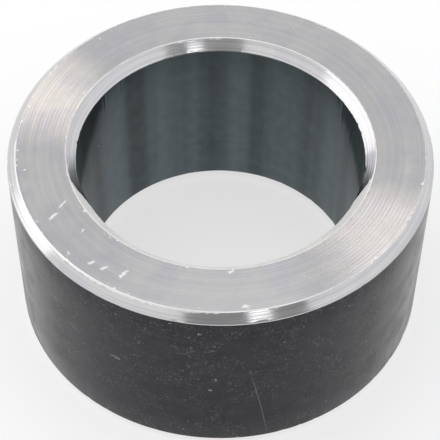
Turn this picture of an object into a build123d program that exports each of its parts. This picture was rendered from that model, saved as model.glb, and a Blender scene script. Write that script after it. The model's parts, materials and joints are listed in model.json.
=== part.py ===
from build123d import *
import os

# A turned spacer sleeve that slips over a 1 in shaft and holds two parts 3/4 in apart.
# Frame: +Z along the bore, origin at the centre of the end face it stands on. Millimetres.

outer_diameter = 38.1  # 1 1/2 in round bar, skimmed
bore_diameter = 25.8  # 1 in shaft and a free clearance
length = 19.05  # 3/4 in from end face to end face
outer_chamfer = 0.75  # 45 degrees, on both outside corners
bore_chamfer = 0.9  # 45 degrees, on both mouths of the bore
edge_break = 0.18  # radius left on every edge of a chamfer by deburring and plating


def wall_section():
    """The ring's section on one side of the axis: chamfered corners with softened edges."""
    bore_radius = bore_diameter / 2
    outer_radius = outer_diameter / 2
    with BuildSketch(Plane.XZ) as section:
        with Locations((bore_radius, 0)):
            Rectangle(outer_radius - bore_radius, length, align=(Align.MIN, Align.MIN))
        bore_corners, outer_corners = section.vertices().group_by(Axis.X)
        chamfer(outer_corners, outer_chamfer)
        chamfer(bore_corners, bore_chamfer)
        fillet(section.vertices(), edge_break)
    return section.sketch


def spacer_sleeve():
    """The section turned once round the bore axis."""
    return revolve(wall_section(), axis=Axis.Z)


os.makedirs("parts", exist_ok=True)
export_step(spacer_sleeve(), "parts/spacer_sleeve.step")
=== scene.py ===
"""Looks of the spacer sleeve: zinc on the faced ends and chamfers, a painted highlight on the chamfers
and rims, walls painted dark as a painted reflection, in a pale studio.
"""
import json
import math

import bpy
import numpy as np
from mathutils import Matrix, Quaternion, Vector


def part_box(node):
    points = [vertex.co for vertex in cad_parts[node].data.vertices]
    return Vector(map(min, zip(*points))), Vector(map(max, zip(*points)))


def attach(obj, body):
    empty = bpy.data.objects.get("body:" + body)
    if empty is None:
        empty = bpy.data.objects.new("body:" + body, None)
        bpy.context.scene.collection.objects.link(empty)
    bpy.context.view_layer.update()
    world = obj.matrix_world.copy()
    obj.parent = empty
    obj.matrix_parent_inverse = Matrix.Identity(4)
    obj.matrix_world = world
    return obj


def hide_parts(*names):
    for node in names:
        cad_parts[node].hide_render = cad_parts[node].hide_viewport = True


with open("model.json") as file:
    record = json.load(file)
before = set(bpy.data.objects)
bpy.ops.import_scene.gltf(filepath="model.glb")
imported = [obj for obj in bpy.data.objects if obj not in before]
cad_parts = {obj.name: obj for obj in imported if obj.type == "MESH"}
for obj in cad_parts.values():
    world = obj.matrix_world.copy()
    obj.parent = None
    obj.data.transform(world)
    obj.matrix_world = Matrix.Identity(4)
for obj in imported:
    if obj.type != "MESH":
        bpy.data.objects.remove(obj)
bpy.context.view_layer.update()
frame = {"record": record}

MM = 0.001
NODE = "spacer_sleeve"

# The sleeve, from the frame. The chamfers and the edge break are the CAD section's own.
LOW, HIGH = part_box(NODE)
LENGTH = HIGH.z - LOW.z
OUTER_RADIUS = max(HIGH.x, HIGH.y)
BORE_RADIUS = frame["record"]["mounts"][0]["dims"]["r_mm"] * MM
OUTER_CHAMFER = 0.75 * MM
BORE_CHAMFER = 0.9 * MM
EDGE_BREAK = 0.18 * MM

# Tool marks: the advance of the tool in a turn, and the depth of the scallops that it leaves.
FEED = 0.305 * MM
FACE_SCALLOP = 0.0035 * MM
CHAMFER_SCALLOP = 0.006 * MM
FACE_UNEVENNESS = 0.2
CHAMFER_UNEVENNESS = 0.8
ROWS_IN_SCALLOP = 4
SCALLOP_SEED = 7

# Knocks along each edge: how many, and their widths and depths in millimetres.
NICKS_ON_AN_EDGE = 46
NICK_WIDTHS = (0.15, 0.6)
NICK_DEPTHS = (0.006, 0.035)
NICK_SEED = 12

# The mesh: steps round the axis, round a softened corner, up a wall and across the underside.
SEGMENTS = 640
ARC_STEPS = 3
WALL_STEPS = 6
UNDERSIDE_STEPS = 3

MATERIALS = ("end_face", "outer_chamfer", "outer_wall", "bore_chamfer", "bore_wall")


# ---------------------------------------------------------------- the turned mesh


def section_corners():
    """The section's corners from the foot of the bore wall, and the material of the side after each."""
    bore, outer, top = BORE_RADIUS, OUTER_RADIUS, LENGTH
    return [
        ((bore, BORE_CHAMFER), "bore_chamfer"),
        ((bore + BORE_CHAMFER, 0.0), "end_face"),
        ((outer - OUTER_CHAMFER, 0.0), "outer_chamfer"),
        ((outer, OUTER_CHAMFER), "outer_wall"),
        ((outer, top - OUTER_CHAMFER), "outer_chamfer"),
        ((outer - OUTER_CHAMFER, top), "end_face"),
        ((bore + BORE_CHAMFER, top), "bore_chamfer"),
        ((bore, top - BORE_CHAMFER), "bore_wall"),
    ]


def rounded_corner(before, corner, after):
    """Points of the arc that softens one corner, and the way into the metal from it."""
    before, corner, after = map(np.array, (before, corner, after))
    back = (before - corner) / np.linalg.norm(before - corner)
    ahead = (after - corner) / np.linalg.norm(after - corner)
    half = math.acos(float(np.dot(back, ahead))) / 2
    inward = (back + ahead) / np.linalg.norm(back + ahead)
    centre = corner + inward * EDGE_BREAK / math.sin(half)
    start = corner + back * EDGE_BREAK / math.tan(half) - centre
    sweep = math.pi - 2 * half
    points = []
    for step in range(ARC_STEPS + 1):
        angle = sweep * step / ARC_STEPS
        cos, sin = math.cos(angle), math.sin(angle)
        turned = (cos * start[0] - sin * start[1], sin * start[0] + cos * start[1])
        points.append(centre + np.array(turned))
    return points, inward


def scalloped_side(start, end, depth, unevenness):
    """Rows across a side with a scallop for each turn of the tool, cut into the metal."""
    along = end - start
    span = np.linalg.norm(along)
    inward = np.array([-along[1], along[0]]) / span
    scallops = max(1, round(span / FEED))
    depths = depth * (1 - unevenness * np.random.default_rng(SCALLOP_SEED).random(scallops))
    steps = scallops * ROWS_IN_SCALLOP
    rows = []
    for step in range(1, steps):
        share = (step % ROWS_IN_SCALLOP) / ROWS_IN_SCALLOP
        drop = depths[step // ROWS_IN_SCALLOP] * (1 - (2 * share - 1) ** 2)
        rows.append(start + along * step / steps + inward * drop)
    return rows


def plain_side(start, end, steps):
    """Evenly spaced rows between two points of the section."""
    return [start + (end - start) * step / steps for step in range(1, steps)]


def side_rows(material, start, end):
    """Rows between the corners of one side: scalloped where the tool's marks show."""
    if "wall" in material:
        return plain_side(start, end, WALL_STEPS)
    if "chamfer" in material:
        return scalloped_side(start, end, CHAMFER_SCALLOP, CHAMFER_UNEVENNESS)
    if start[1] < LENGTH / 2:
        return plain_side(start, end, UNDERSIDE_STEPS)
    return scalloped_side(start, end, FACE_SCALLOP, FACE_UNEVENNESS)


def section_rows():
    """Every row of the closed section, the strip of material after each, and the rows of each corner."""
    corners = section_corners()
    count = len(corners)
    arcs = []
    for i, (corner, _) in enumerate(corners):
        arcs.append(rounded_corner(corners[i - 1][0], corner, corners[(i + 1) % count][0]))
    rows, strips, edges = [], [], []
    for i, (_, material) in enumerate(corners):
        arc, inward = arcs[i]
        chamfer = material if "chamfer" in material else corners[i - 1][1]
        side = side_rows(material, arc[-1], arcs[(i + 1) % count][0][0])
        edges.append((range(len(rows), len(rows) + len(arc)), inward))
        rows += arc + side
        strips += [chamfer] * ARC_STEPS + [material] * (len(side) + 1)
    return np.array(rows), strips, edges


def nick_edges(radii, heights, edges):
    """Small knocks along every edge, cut into the metal."""
    rng = np.random.default_rng(NICK_SEED)
    turn = np.arange(SEGMENTS) / SEGMENTS
    for rows, inward in edges:
        depth = np.zeros(SEGMENTS)
        for _ in range(NICKS_ON_AN_EDGE):
            away = np.abs((turn - rng.random() + 0.5) % 1 - 0.5) * 2 * math.pi * OUTER_RADIUS
            width = rng.uniform(*NICK_WIDTHS) * MM
            deepest = rng.uniform(*NICK_DEPTHS) * MM
            depth = np.maximum(depth, deepest * np.clip(1 - away / width, 0, 1))
        for row in rows:
            radii[:, row] += inward[0] * depth
            heights[:, row] += inward[1] * depth


def sleeve_mesh():
    """The section turned round the bore axis, with a material for each strip."""
    rows, strips, edges = section_rows()
    count = len(rows)
    radii = np.tile(rows[:, 0], (SEGMENTS, 1))
    heights = np.tile(rows[:, 1], (SEGMENTS, 1))
    nick_edges(radii, heights, edges)
    angles = (np.arange(SEGMENTS) * (2 * math.pi / SEGMENTS))[:, None]
    points = np.stack([np.cos(angles) * radii, np.sin(angles) * radii, heights], axis=-1).reshape(-1, 3)
    faces, indices = [], []
    for segment in range(SEGMENTS):
        here, there = segment * count, (segment + 1) % SEGMENTS * count
        for row in range(count):
            following = (row + 1) % count
            faces.append((here + row, here + following, there + following, there + row))
            indices.append(MATERIALS.index(strips[row]))
    mesh = bpy.data.meshes.new("sleeve_body")
    mesh.from_pydata(points.tolist(), [], faces)
    mesh.polygons.foreach_set("material_index", indices)
    mesh.polygons.foreach_set("use_smooth", [True] * len(faces))
    mesh.update()
    print("sleeve mesh:", count, "rows,", 2 * len(faces), "triangles")
    return mesh


# ---------------------------------------------------------------- node helpers


def plug(tree, socket, value):
    """A socket gets either a plain value or another socket's output."""
    if isinstance(value, bpy.types.NodeSocket):
        tree.links.new(value, socket)
    else:
        socket.default_value = value


def calc(tree, operation, *values):
    node = tree.nodes.new("ShaderNodeMath")
    node.operation = operation
    for socket, value in zip(node.inputs, values):
        plug(tree, socket, value)
    return node.outputs[0]


def total(tree, first, *others):
    for other in others:
        first = calc(tree, "ADD", first, other)
    return first


def remap(tree, value, start, end, low=0.0, high=1.0, smooth=True):
    """value from start..end to low..high, clamped, with soft ends unless smooth is off."""
    node = tree.nodes.new("ShaderNodeMapRange")
    node.interpolation_type = "SMOOTHSTEP" if smooth else "LINEAR"
    for name, number in (("From Min", start), ("From Max", end), ("To Min", low), ("To Max", high)):
        plug(tree, node.inputs[name], number)
    plug(tree, node.inputs["Value"], value)
    return node.outputs[0]


def blend(tree, share, first, second):
    """The colour first where share is 0, second where it is 1."""
    node = tree.nodes.new("ShaderNodeMix")
    node.data_type = "RGBA"
    for socket, value in ((node.inputs[6], first), (node.inputs[7], second)):
        plug(tree, socket, (*value, 1) if isinstance(value, tuple) else value)
    plug(tree, node.inputs[0], share)
    return node.outputs[2]


def split(tree, vector):
    parts = tree.nodes.new("ShaderNodeSeparateXYZ")
    tree.links.new(vector, parts.inputs[0])
    return parts.outputs["X"], parts.outputs["Y"], parts.outputs["Z"]


def joined(tree, x, y, z):
    node = tree.nodes.new("ShaderNodeCombineXYZ")
    for socket, value in zip(node.inputs, (x, y, z)):
        plug(tree, socket, value)
    return node.outputs[0]


def place_in_mm(tree):
    """x, y, z and the distance from the axis, in millimetres."""
    place = tree.nodes.new("ShaderNodeTexCoord").outputs["Object"]
    x, y, z = (calc(tree, "DIVIDE", part, MM) for part in split(tree, place))
    squares = calc(tree, "ADD", calc(tree, "MULTIPLY", x, x), calc(tree, "MULTIPLY", y, y))
    return x, y, z, calc(tree, "SQRT", squares)


def noise(tree, vector, scale, detail=2.0, fourth=None):
    node = tree.nodes.new("ShaderNodeTexNoise")
    if fourth is not None:
        node.noise_dimensions = "4D"
        tree.links.new(fourth, node.inputs["W"])
    tree.links.new(vector, node.inputs["Vector"])
    node.inputs["Scale"].default_value = scale
    node.inputs["Detail"].default_value = detail
    return node.outputs[0]


# ---------------------------------------------------------------- the sleeve's finishes

ZINC = (0.46, 0.455, 0.46)
BLUED_ZINC = (0.43, 0.43, 0.455)
WARM_ZINC = (0.48, 0.46, 0.44)

# What the zinc's colours are multiplied by on the chamfers, the outer wall and the bore wall: on the
# chamfers a painted highlight, on both walls a painted dark reflection, the bore's greenish tint painted
# in with it.
CHAMFER_PAINTED_HIGHLIGHT = (1.3, 1.3, 1.3)
WALL_PAINTED_REFLECTION = (0.075, 0.076, 0.084)
BORE_PAINTED_REFLECTION = (0.22, 0.27, 0.28)

# Worn spots, and on the pale surfaces the painted rim highlight and painted edge glints too: their
# colour on the pale surfaces and on the walls painted dark, and how they change the metal.
SCUFF_AND_HIGHLIGHT = (0.80, 0.80, 0.79)
DULL_SCUFF = (0.34, 0.34, 0.33)
WORN_ROUGHNESS = 0.15
RIM_HIGHLIGHT_ROUGHNESS = 0.25  # on the painted rim highlight, on top of the worn spots'
WORN_DEPTH = 1.0  # micrometres

LEAST_ROUGHNESS = 0.04
ACROSS_THE_GROOVES = 0.25  # a quarter turn from the way round
NOISE_SPAN = (0.3, 0.7)  # where nearly all of a noise texture's values lie


def tool_marks(tree, spot, along, across, detail=2.0):
    """Noise drawn out round the axis: marks per millimetre round it, and across the marks."""
    x, y, z, away = spot
    around = [calc(tree, "MULTIPLY", part, along / across) for part in (x, y)]
    level = calc(tree, "MULTIPLY", z, across)
    return noise(tree, joined(tree, *around, away), across, detail, fourth=level)


def drawn_lines(tree, spot):
    """Noise drawn out along the axis, as a drawn bore has it."""
    x, y, _, _ = spot
    return noise(tree, joined(tree, x, y, 0.0), 0.22, 3.0)


def facing(tree, spot, turn):
    """1 on the side of the sleeve at a turn in degrees, -1 on the other side."""
    x, y, _, away = spot
    cos, sin = math.cos(math.radians(turn)), math.sin(math.radians(turn))
    outward = total(tree, calc(tree, "MULTIPLY", x, cos), calc(tree, "MULTIPLY", y, sin))
    return calc(tree, "DIVIDE", outward, away)


def painted_rim_highlight(tree, spot, wall_radius, chamfer, turn, start, full, wide):
    """A painted highlight along the face's edge of a chamfer: paler, rougher metal on the side facing a
    turn, in shares of its width.

    It starts and is full where facing the turn reaches those values.
    """
    share = remap(tree, facing(tree, spot, turn), start, full, 0.0, wide)
    ragged = remap(tree, noise(tree, joined(tree, *spot[:3]), 2.5, 3.0), *NOISE_SPAN, -0.06, 0.06)
    from_wall = calc(tree, "ABSOLUTE", calc(tree, "SUBTRACT", spot[3], wall_radius))
    level = calc(tree, "DIVIDE", from_wall, chamfer)
    edge = total(tree, calc(tree, "SUBTRACT", 1.0, share), ragged)
    highlighted_rim = remap(tree, calc(tree, "SUBTRACT", level, edge), 0.0, 0.16)
    return calc(tree, "MULTIPLY", highlighted_rim, on_top(tree, spot))


def jumbled(tree, spot, reach):
    """The place in millimetres, pushed about by up to half the reach, so that nothing lines up."""
    far_apart = 17.0
    parts = []
    for i, part in enumerate(spot[:3]):
        aside = joined(tree, *(calc(tree, "ADD", value, far_apart * i) for value in spot[:3]))
        push = remap(tree, noise(tree, aside, 1.3, 3.0), 0.25, 0.75, -reach / 2, reach / 2)
        parts.append(calc(tree, "ADD", part, push))
    return joined(tree, *parts)


def specks(tree, spot, per_mm, size, share, core=0.4, reach=0.0):
    """Specks of different sizes in a share of the cells, full inside a core and soft round it.

    reach is how far the cells are jumbled, in millimetres; without it the specks are round.
    """
    node = tree.nodes.new("ShaderNodeTexVoronoi")
    where = jumbled(tree, spot, reach) if reach else joined(tree, *spot[:3])
    tree.links.new(where, node.inputs["Vector"])
    node.inputs["Scale"].default_value = per_mm
    chance, amount, _ = split(tree, node.outputs["Color"])
    chosen = calc(tree, "LESS_THAN", chance, share)
    edge = calc(tree, "MULTIPLY", amount, size)
    mask = remap(tree, node.outputs["Distance"], edge, calc(tree, "MULTIPLY", edge, core))
    return calc(tree, "MULTIPLY", mask, chosen)


def edge_chips_and_glints(tree, spot):
    """Small pale chips that crowd along both edges of an end face: partly wear, partly painted glints.
    """
    inner = (BORE_RADIUS + BORE_CHAMFER) / MM
    outer = (OUTER_RADIUS - OUTER_CHAMFER) / MM
    away = calc(tree, "ABSOLUTE", calc(tree, "SUBTRACT", spot[3], (inner + outer) / 2))
    near = remap(tree, away, (outer - inner) / 2 - 0.5, (outer - inner) / 2)
    return calc(tree, "MULTIPLY", specks(tree, spot, 1.7, 0.4, 0.5), near)


def on_top(tree, spot):
    """1 on the upper half of the sleeve, which has the placed wear, and 0 below."""
    return calc(tree, "GREATER_THAN", spot[2], LENGTH / MM / 2)


def scratch(tree, spot, on_wall, wobble, turn, across, heading, length, width, bend, strength):
    """A scratch centred at a turn in degrees and a distance across the surface, in millimetres.

    On an end face the distance is from the axis, on a wall it is the height.
    heading is from the way round to the way across, in degrees; bend is its curl per millimetre.
    """
    x, y, z, _ = spot
    cos, sin = math.cos(math.radians(turn)), math.sin(math.radians(turn))
    outward = total(tree, calc(tree, "MULTIPLY", x, cos), calc(tree, "MULTIPLY", y, sin))
    sideways = total(tree, calc(tree, "MULTIPLY", y, cos), calc(tree, "MULTIPLY", x, -sin))
    level = calc(tree, "SUBTRACT", z if on_wall else outward, across)
    c, s = math.cos(math.radians(heading)), math.sin(math.radians(heading))
    run = total(tree, calc(tree, "MULTIPLY", sideways, c), calc(tree, "MULTIPLY", level, s))
    off = total(tree, calc(tree, "MULTIPLY", level, c), calc(tree, "MULTIPLY", sideways, -s))
    curve = calc(tree, "MULTIPLY", calc(tree, "MULTIPLY", run, run), bend)
    ragged = calc(tree, "MULTIPLY", wobble, width * 0.25)
    off = total(tree, off, calc(tree, "MULTIPLY", curve, -1.0), ragged)
    off = calc(tree, "ABSOLUTE", off)
    run = calc(tree, "ABSOLUTE", total(tree, run, calc(tree, "MULTIPLY", wobble, length * 0.12)))
    sides = remap(tree, off, width, width * 0.2)
    ends = remap(tree, run, length / 2, length / 5)
    mask = calc(tree, "MULTIPLY", sides, ends)
    mask = calc(tree, "MULTIPLY", mask, calc(tree, "GREATER_THAN", outward, 0.0))
    return calc(tree, "MULTIPLY", mask, strength)


def scratches(tree, spot, on_wall, marks):
    """All the listed scratches, with ragged sides."""
    wobble = remap(tree, noise(tree, joined(tree, *spot[:3]), 3.5, 3.0), *NOISE_SPAN, -1.0, 1.0)
    worn = 0.0
    for mark in marks:
        worn = calc(tree, "MAXIMUM", scratch(tree, spot, on_wall, wobble, *mark), worn)
    return worn if on_wall else calc(tree, "MULTIPLY", worn, on_top(tree, spot))


FACE_SCRATCHES = [
    # turn, distance from the axis, heading, length, half width, bend, strength
    (210, 16.5, 70, 1.3, 0.20, 0.0, 1.0),
    (207, 15.3, 60, 1.4, 0.12, 0.12, 0.9),
    (220, 15.3, 55, 0.5, 0.14, 0.0, 0.8),
    (224, 17.7, 20, 0.5, 0.14, 0.0, 0.9),
    (231, 17.1, 115, 0.8, 0.18, 0.0, 0.9),
    (235, 16.9, 120, 0.9, 0.20, 0.0, 1.0),
    (241, 16.6, 100, 1.3, 0.22, 0.0, 1.0),
    (274, 14.1, 150, 0.8, 0.18, 0.0, 1.0),
    (277, 17.8, 20, 0.8, 0.30, 0.0, 1.0),
    (190, 17.5, 80, 0.4, 0.11, 0.0, 0.9),
]

WALL_SCRATCHES = [
    # turn, height, heading, length, half width, bend, strength
    (281, 6.4, 100, 12.5, 0.05, 0.004, 0.38),
    (221, 13.2, 165, 1.6, 0.07, 0.0, 0.5),
    (228, 11.1, 160, 2.0, 0.07, 0.0, 0.5),
    (242, 10.3, 170, 1.1, 0.22, 0.0, 0.5),
    (296, 13.0, 120, 1.4, 0.05, 0.0, 0.3),
    (268, 8.6, 0, 0.4, 0.15, 0.0, 0.8),
]


def scaled(tree, colour, amount):
    """A colour made lighter or darker."""
    node = tree.nodes.new("ShaderNodeVectorMath")
    node.operation = "SCALE"
    tree.links.new(colour, node.inputs["Vector"])
    tree.links.new(amount, node.inputs["Scale"])
    return node.outputs[0]


def make_finish(name, roughness, anisotropy, tool=0.02, relief=0.5, wear=0.03, streak=0.05, mottle=0.0,
                hue=(1, 1, 1), scuff_and_highlight=SCUFF_AND_HIGHLIGHT, drawn=0.0, dots=0.2, grain=0.0, marks=(), rim=None,
                chips_and_glints=False):
    """Metal with tool marks, stains, worn spots, painted highlights and painted dark reflections.

    tool is how far the tool marks change the roughness, relief how deep they are, in micrometres,
    wear how far blotches change the roughness, streak and mottle how far tool marks and stains
    change the colour, hue what the zinc's colours are multiplied by, a painted highlight on the
    chamfers and a painted dark reflection on the walls, scuff_and_highlight the colour of worn spots,
    of the painted rim highlight and of the painted edge glints, drawn how far lines along the axis
    change the colour, dots the share of cells with a pale dot, and grain how strongly soft pale
    grains show. marks are the scratches, rim the settings of the painted rim highlight, and
    chips_and_glints adds chips and painted glints at the edges.
    """
    material = bpy.data.materials.new(name)
    material.use_nodes = True
    tree = material.node_tree
    shader = tree.nodes["Principled BSDF"]
    spot = place_in_mm(tree)
    solid = joined(tree, *spot[:3])

    fine = tool_marks(tree, spot, 0.05, 4.0)
    lines = tool_marks(tree, spot, 0.05, 3.6, 3.0)
    blotch = noise(tree, solid, 0.35, 4.0)
    stains = noise(tree, solid, 0.9, 5.0)
    zincs = (BLUED_ZINC, ZINC, WARM_ZINC)
    blued, plain, warm = (tuple(a * b for a, b in zip(zinc, hue)) for zinc in zincs)
    tint = blend(tree, remap(tree, blotch, 0.35, 0.65), blued, plain)
    tint = blend(tree, remap(tree, tool_marks(tree, spot, 0.03, 0.8), 0.5, 0.8), tint, warm)
    lightness = total(
        tree,
        remap(tree, lines, *NOISE_SPAN, -streak, streak),
        remap(tree, stains, *NOISE_SPAN, -mottle, mottle),
        remap(tree, drawn_lines(tree, spot), *NOISE_SPAN, -drawn, drawn),
        1.0,
    )
    tint = scaled(tree, tint, lightness)

    worn = scratches(tree, spot, "wall" in name, marks)
    pale_dots = specks(tree, spot, per_mm=0.7, size=0.16, share=dots, reach=1.2)
    worn = calc(tree, "MAXIMUM", pale_dots, worn)
    if grain:
        grains = specks(tree, spot, per_mm=1.9, size=0.65, share=0.6, core=0.05, reach=2.4)
        pale = calc(tree, "MULTIPLY", grains, grain)
        patches = remap(tree, blotch, 0.35, 0.6, 0.2, 1.0)
        worn = calc(tree, "MAXIMUM", worn, calc(tree, "MULTIPLY", pale, patches))
    highlighted_rim = painted_rim_highlight(tree, spot, *rim) if rim else 0.0
    worn = calc(tree, "MAXIMUM", worn, highlighted_rim)
    if chips_and_glints:
        worn = calc(tree, "MAXIMUM", worn, edge_chips_and_glints(tree, spot))
    plug(tree, shader.inputs["Base Color"], blend(tree, worn, tint, scuff_and_highlight))

    dull = total(
        tree,
        remap(tree, fine, *NOISE_SPAN, -tool, tool),
        remap(tree, blotch, 0.35, 0.7, -wear, wear),
        calc(tree, "MULTIPLY", worn, WORN_ROUGHNESS),
        calc(tree, "MULTIPLY", highlighted_rim, RIM_HIGHLIGHT_ROUGHNESS),
        roughness,
    )
    plug(tree, shader.inputs["Roughness"], calc(tree, "MAXIMUM", dull, LEAST_ROUGHNESS))

    bump = tree.nodes.new("ShaderNodeBump")
    bump.inputs["Distance"].default_value = 0.001 * MM
    height = total(tree, calc(tree, "MULTIPLY", fine, relief), calc(tree, "MULTIPLY", worn, -WORN_DEPTH))
    plug(tree, bump.inputs["Height"], height)
    tree.links.new(bump.outputs[0], shader.inputs["Normal"])

    tangent = tree.nodes.new("ShaderNodeTangent")
    tangent.direction_type = "RADIAL"
    tangent.axis = "Z"
    tree.links.new(tangent.outputs[0], shader.inputs["Tangent"])
    shader.inputs["Metallic"].default_value = 1.0
    shader.inputs["Anisotropic"].default_value = anisotropy
    shader.inputs["Anisotropic Rotation"].default_value = ACROSS_THE_GROOVES
    return material


def make_finishes():
    """The finishes, in the order of MATERIALS."""
    # Painted rim highlights: pale, rougher metal along the outer chamfers towards turn 237 and the bore
    # chamfers towards turn 272.
    outer_rim = (OUTER_RADIUS / MM, OUTER_CHAMFER / MM, 237, 0.72, 0.95, 0.22)
    bore_rim = (BORE_RADIUS / MM, BORE_CHAMFER / MM, 272, 0.2, 0.5, 1.1)
    return [
        # The chamfers' colour carries a painted highlight; the walls' colour is a painted dark
        # reflection.
        make_finish("end_face", 0.175, 1.0, relief=0.3, streak=0.035, mottle=0.015, marks=FACE_SCRATCHES,
                    chips_and_glints=True),
        make_finish("outer_chamfer", 0.15, 0.7, tool=0.04, relief=1.5, streak=0.14, hue=CHAMFER_PAINTED_HIGHLIGHT,
                    rim=outer_rim),
        make_finish("outer_wall", 0.24, 0.7, relief=0.4, wear=0.04, streak=0.12, mottle=0.12, grain=0.5,
                    hue=WALL_PAINTED_REFLECTION, scuff_and_highlight=DULL_SCUFF, marks=WALL_SCRATCHES),
        make_finish("bore_chamfer", 0.16, 0.7, tool=0.04, relief=1.5, streak=0.14, hue=CHAMFER_PAINTED_HIGHLIGHT,
                    rim=bore_rim),
        make_finish("bore_wall", 0.26, 1.0, tool=0.0, relief=0.0, wear=0.01, streak=0.05, mottle=0.07,
                    hue=BORE_PAINTED_REFLECTION, scuff_and_highlight=DULL_SCUFF, drawn=0.35, dots=0.06),
    ]


# ---------------------------------------------------------------- studio

WHITE = (1.0, 1.0, 1.0)
WARM_WHITE = (1.0, 0.88, 0.76)

AMBIENT = 0.9  # the world's light on the object, where 1 is what the camera sees as white
FLOOR_OWN_LIGHT = 0.6
FLOOR_HALF_SIZE = 1.5
FLOOR_GAP = 0.01 * MM  # under the sleeve

LAMPS = [
    # name, azimuth, elevation, distance, size, radiance, colour
    ("overhead", 120, 80, 1.2, 0.9, 0.4, WHITE),
    ("window", 160, 30, 1.0, 0.9, 0.8, WHITE),
    ("left_lamp", 107, 42, 0.9, 0.12, 2.6, WARM_WHITE),
    ("right_lamp", 70, 55, 0.9, 0.12, 2.6, WARM_WHITE),
    ("camera_lamp", -70, 40, 1.0, 0.15, 3.0, WHITE),
]

FLAG_GREY = 0.45
FLAG_HALF_WIDTH = 0.6
FLAG_HEIGHT = 1.4
FLAG_PLACE = (0.3, -1.0, 0.05)


def new_object(name, data):
    obj = bpy.data.objects.new(name, data)
    bpy.context.scene.collection.objects.link(obj)
    return obj


def new_tree(name):
    """An empty material and its node tree."""
    material = bpy.data.materials.new(name)
    material.use_nodes = True
    material.node_tree.nodes.clear()
    return material, material.node_tree


def finish_tree(tree, shader):
    output = tree.nodes.new("ShaderNodeOutputMaterial")
    tree.links.new(shader, output.inputs["Surface"])


def matt(tree, grey):
    node = tree.nodes.new("ShaderNodeBsdfDiffuse")
    node.inputs["Color"].default_value = (grey, grey, grey, 1)
    return node.outputs[0]


def glow(tree, colour, strength):
    node = tree.nodes.new("ShaderNodeEmission")
    node.inputs["Color"].default_value = (*colour, 1)
    plug(tree, node.inputs["Strength"], strength)
    return node.outputs[0]


def make_panel(name, corners, material):
    """A flat panel of the studio, which isn't part of the object."""
    mesh = bpy.data.meshes.new(name)
    mesh.from_pydata(corners, [], [(0, 1, 2, 3)])
    mesh.materials.append(material)
    panel = new_object(name, mesh)
    return panel


def direction(azimuth, elevation):
    a, e = math.radians(azimuth), math.radians(elevation)
    return Vector((math.cos(a) * math.cos(e), math.sin(a) * math.cos(e), math.sin(e)))


def ray_is_seen(tree):
    """1 for camera, glossy and transmission rays: what looks at the background or shows it."""
    path = tree.nodes.new("ShaderNodeLightPath")
    seen = path.outputs["Is Camera Ray"]
    for name in ("Is Glossy Ray", "Is Transmission Ray"):
        seen = calc(tree, "MAXIMUM", seen, path.outputs[name])
    return seen


def make_world():
    """White to what sees it, and at the ambient level to what it lights."""
    world = bpy.data.worlds.new("studio")
    bpy.context.scene.world = world
    world.use_nodes = True
    tree = world.node_tree
    background = tree.nodes["Background"]
    background.inputs["Color"].default_value = (*WHITE, 1)
    strength = remap(tree, ray_is_seen(tree), 0.0, 1.0, AMBIENT, 1.0, smooth=False)
    plug(tree, background.inputs["Strength"], strength)


def make_floor():
    """White floor: part of its white is its own, so the sleeve's shadow stays pale."""
    material, tree = new_tree("floor")
    both = tree.nodes.new("ShaderNodeAddShader")
    tree.links.new(matt(tree, 1 - FLOOR_OWN_LIGHT), both.inputs[0])
    own_light = calc(tree, "MULTIPLY", ray_is_seen(tree), FLOOR_OWN_LIGHT)
    tree.links.new(glow(tree, WHITE, own_light), both.inputs[1])
    finish_tree(tree, both.outputs[0])
    size = FLOOR_HALF_SIZE
    corners = [(-size, -size, 0), (size, -size, 0), (size, size, 0), (-size, size, 0)]
    floor = make_panel("floor", corners, material)
    floor.location.z = -FLOOR_GAP


def make_lamp(name, azimuth, elevation, distance, size, radiance, colour):
    """A square soft box that faces the sleeve."""
    light = bpy.data.lights.new(name, "AREA")
    light.shape = "SQUARE"
    light.size = size
    light.color = colour
    light.energy = radiance * math.pi * size * size
    lamp = new_object(name, light)
    lamp.location = direction(azimuth, elevation) * distance
    lamp.rotation_euler = (-lamp.location).to_track_quat("-Z", "Y").to_euler()
    lamp.visible_camera = False


def make_flag():
    """A plain grey panel behind the camera, for the darker side of the studio."""
    material, tree = new_tree("flag")
    finish_tree(tree, matt(tree, FLAG_GREY))
    wide, high = FLAG_HALF_WIDTH, FLAG_HEIGHT
    corners = [(-wide, 0, 0), (wide, 0, 0), (wide, 0, high), (-wide, 0, high)]
    flag = make_panel("flag", corners, material)
    flag.location = FLAG_PLACE
    flag.visible_camera = False
    flag.visible_shadow = False


# ---------------------------------------------------------------- camera

CAMERA_ELEVATION = 50.66
CAMERA_ROLL = 0.62
CAMERA_DISTANCE = 151.5 * MM
CAMERA_LENS = 131.7
CAMERA_SENSOR = 36
AIM_HEIGHT = 0.455 * LENGTH


def make_camera():
    data = bpy.data.cameras.new("camera")
    data.lens = CAMERA_LENS
    data.sensor_width = CAMERA_SENSOR
    data.clip_start = 1 * MM
    data.clip_end = 10
    camera = new_object("camera", data)
    back = direction(-90, CAMERA_ELEVATION)
    camera.location = Vector((0, 0, AIM_HEIGHT)) + back * CAMERA_DISTANCE
    camera.rotation_mode = "QUATERNION"
    roll = Quaternion((0, 0, 1), math.radians(CAMERA_ROLL))
    camera.rotation_quaternion = (-back).to_track_quat("-Z", "Y") @ roll
    bpy.context.scene.camera = camera


# ---------------------------------------------------------------- putting it together

sleeve = new_object("sleeve_body", sleeve_mesh())
for finish in make_finishes():
    sleeve.data.materials.append(finish)
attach(sleeve, "root")
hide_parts(NODE)

make_world()
make_floor()
for settings in LAMPS:
    make_lamp(*settings)
make_flag()
make_camera()
bpy.context.scene.view_settings.view_transform = "Standard"
